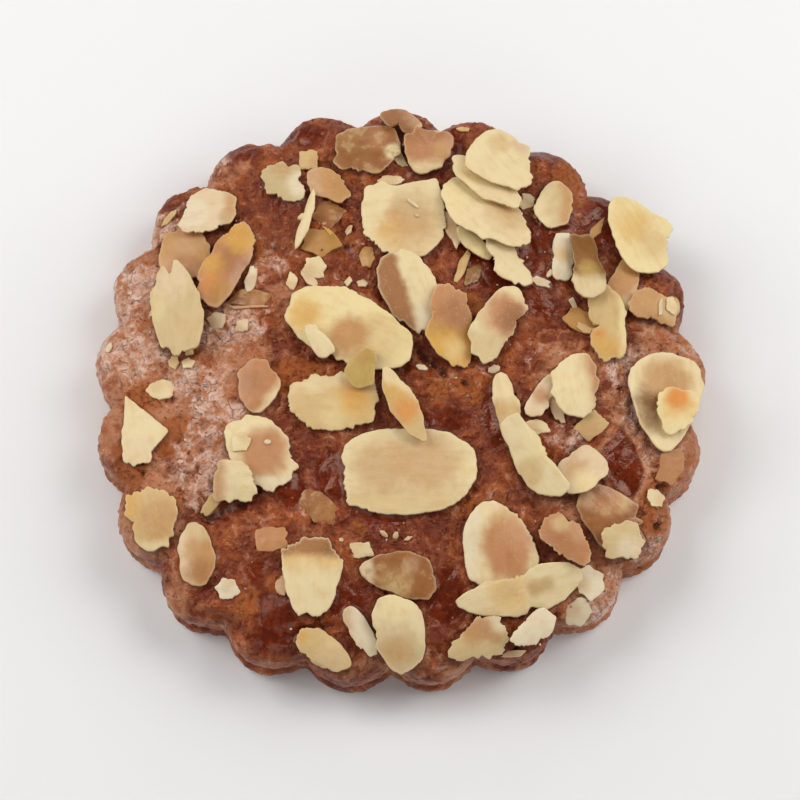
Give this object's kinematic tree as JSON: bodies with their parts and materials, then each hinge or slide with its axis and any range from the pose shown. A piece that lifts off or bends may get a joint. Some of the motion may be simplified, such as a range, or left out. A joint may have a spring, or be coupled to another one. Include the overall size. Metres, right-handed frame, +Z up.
{
  "type": "speculaas cookie",
  "caption": "Round speculaas cookie with a fluted rim and a domed, cracked, egg-washed top covered with flaked almonds.",
  "frame": {"origin": "centre of the bounding box, on the flat baked underside", "axes": "+Z up out of the almond-covered top; X and Y in the plane that the cookie lies on, -Y towards the front"},
  "size_m": [0.104, 0.1014, 0.0215],
  "materials": {
    "crust": "red-brown baked crust, egg-washed and partly glossy",
    "almond": "pale almond, toasted and glazed in places"
  },
  "bodies": {
    "root": {"cookie_crust": "crust", "almond_flake_01": "almond", "almond_flake_02": "almond", "almond_flake_03": "almond", "almond_flake_04": "almond", "almond_flake_05": "almond", "almond_flake_06": "almond", "almond_flake_07": "almond", "almond_flake_08": "almond", "almond_flake_09": "almond", "almond_flake_10": "almond", "almond_flake_11": "almond", "almond_flake_12": "almond", "almond_flake_13": "almond", "almond_flake_14": "almond", "almond_flake_15": "almond", "almond_flake_16": "almond", "almond_flake_17": "almond", "almond_flake_18": "almond", "almond_flake_19": "almond", "almond_flake_20": "almond", "almond_flake_21": "almond", "almond_flake_22": "almond", "almond_flake_23": "almond", "almond_flake_24": "almond", "almond_flake_25": "almond", "almond_flake_26": "almond", "almond_flake_27": "almond", "almond_flake_28": "almond", "almond_flake_29": "almond", "almond_flake_30": "almond", "almond_flake_31": "almond", "almond_flake_32": "almond", "almond_flake_33": "almond", "almond_flake_34": "almond", "almond_flake_35": "almond", "almond_flake_36": "almond", "almond_flake_37": "almond", "almond_flake_38": "almond", "almond_flake_39": "almond", "almond_flake_40": "almond", "almond_flake_41": "almond", "almond_flake_42": "almond", "almond_flake_43": "almond", "almond_flake_44": "almond", "almond_flake_45": "almond", "almond_flake_46": "almond", "almond_flake_47": "almond", "almond_flake_48": "almond", "almond_flake_49": "almond", "almond_flake_50": "almond", "almond_flake_51": "almond", "almond_flake_52": "almond", "almond_flake_53": "almond", "almond_flake_54": "almond", "almond_flake_55": "almond", "almond_flake_56": "almond", "almond_flake_57": "almond"}
  },
  "joints": []
}
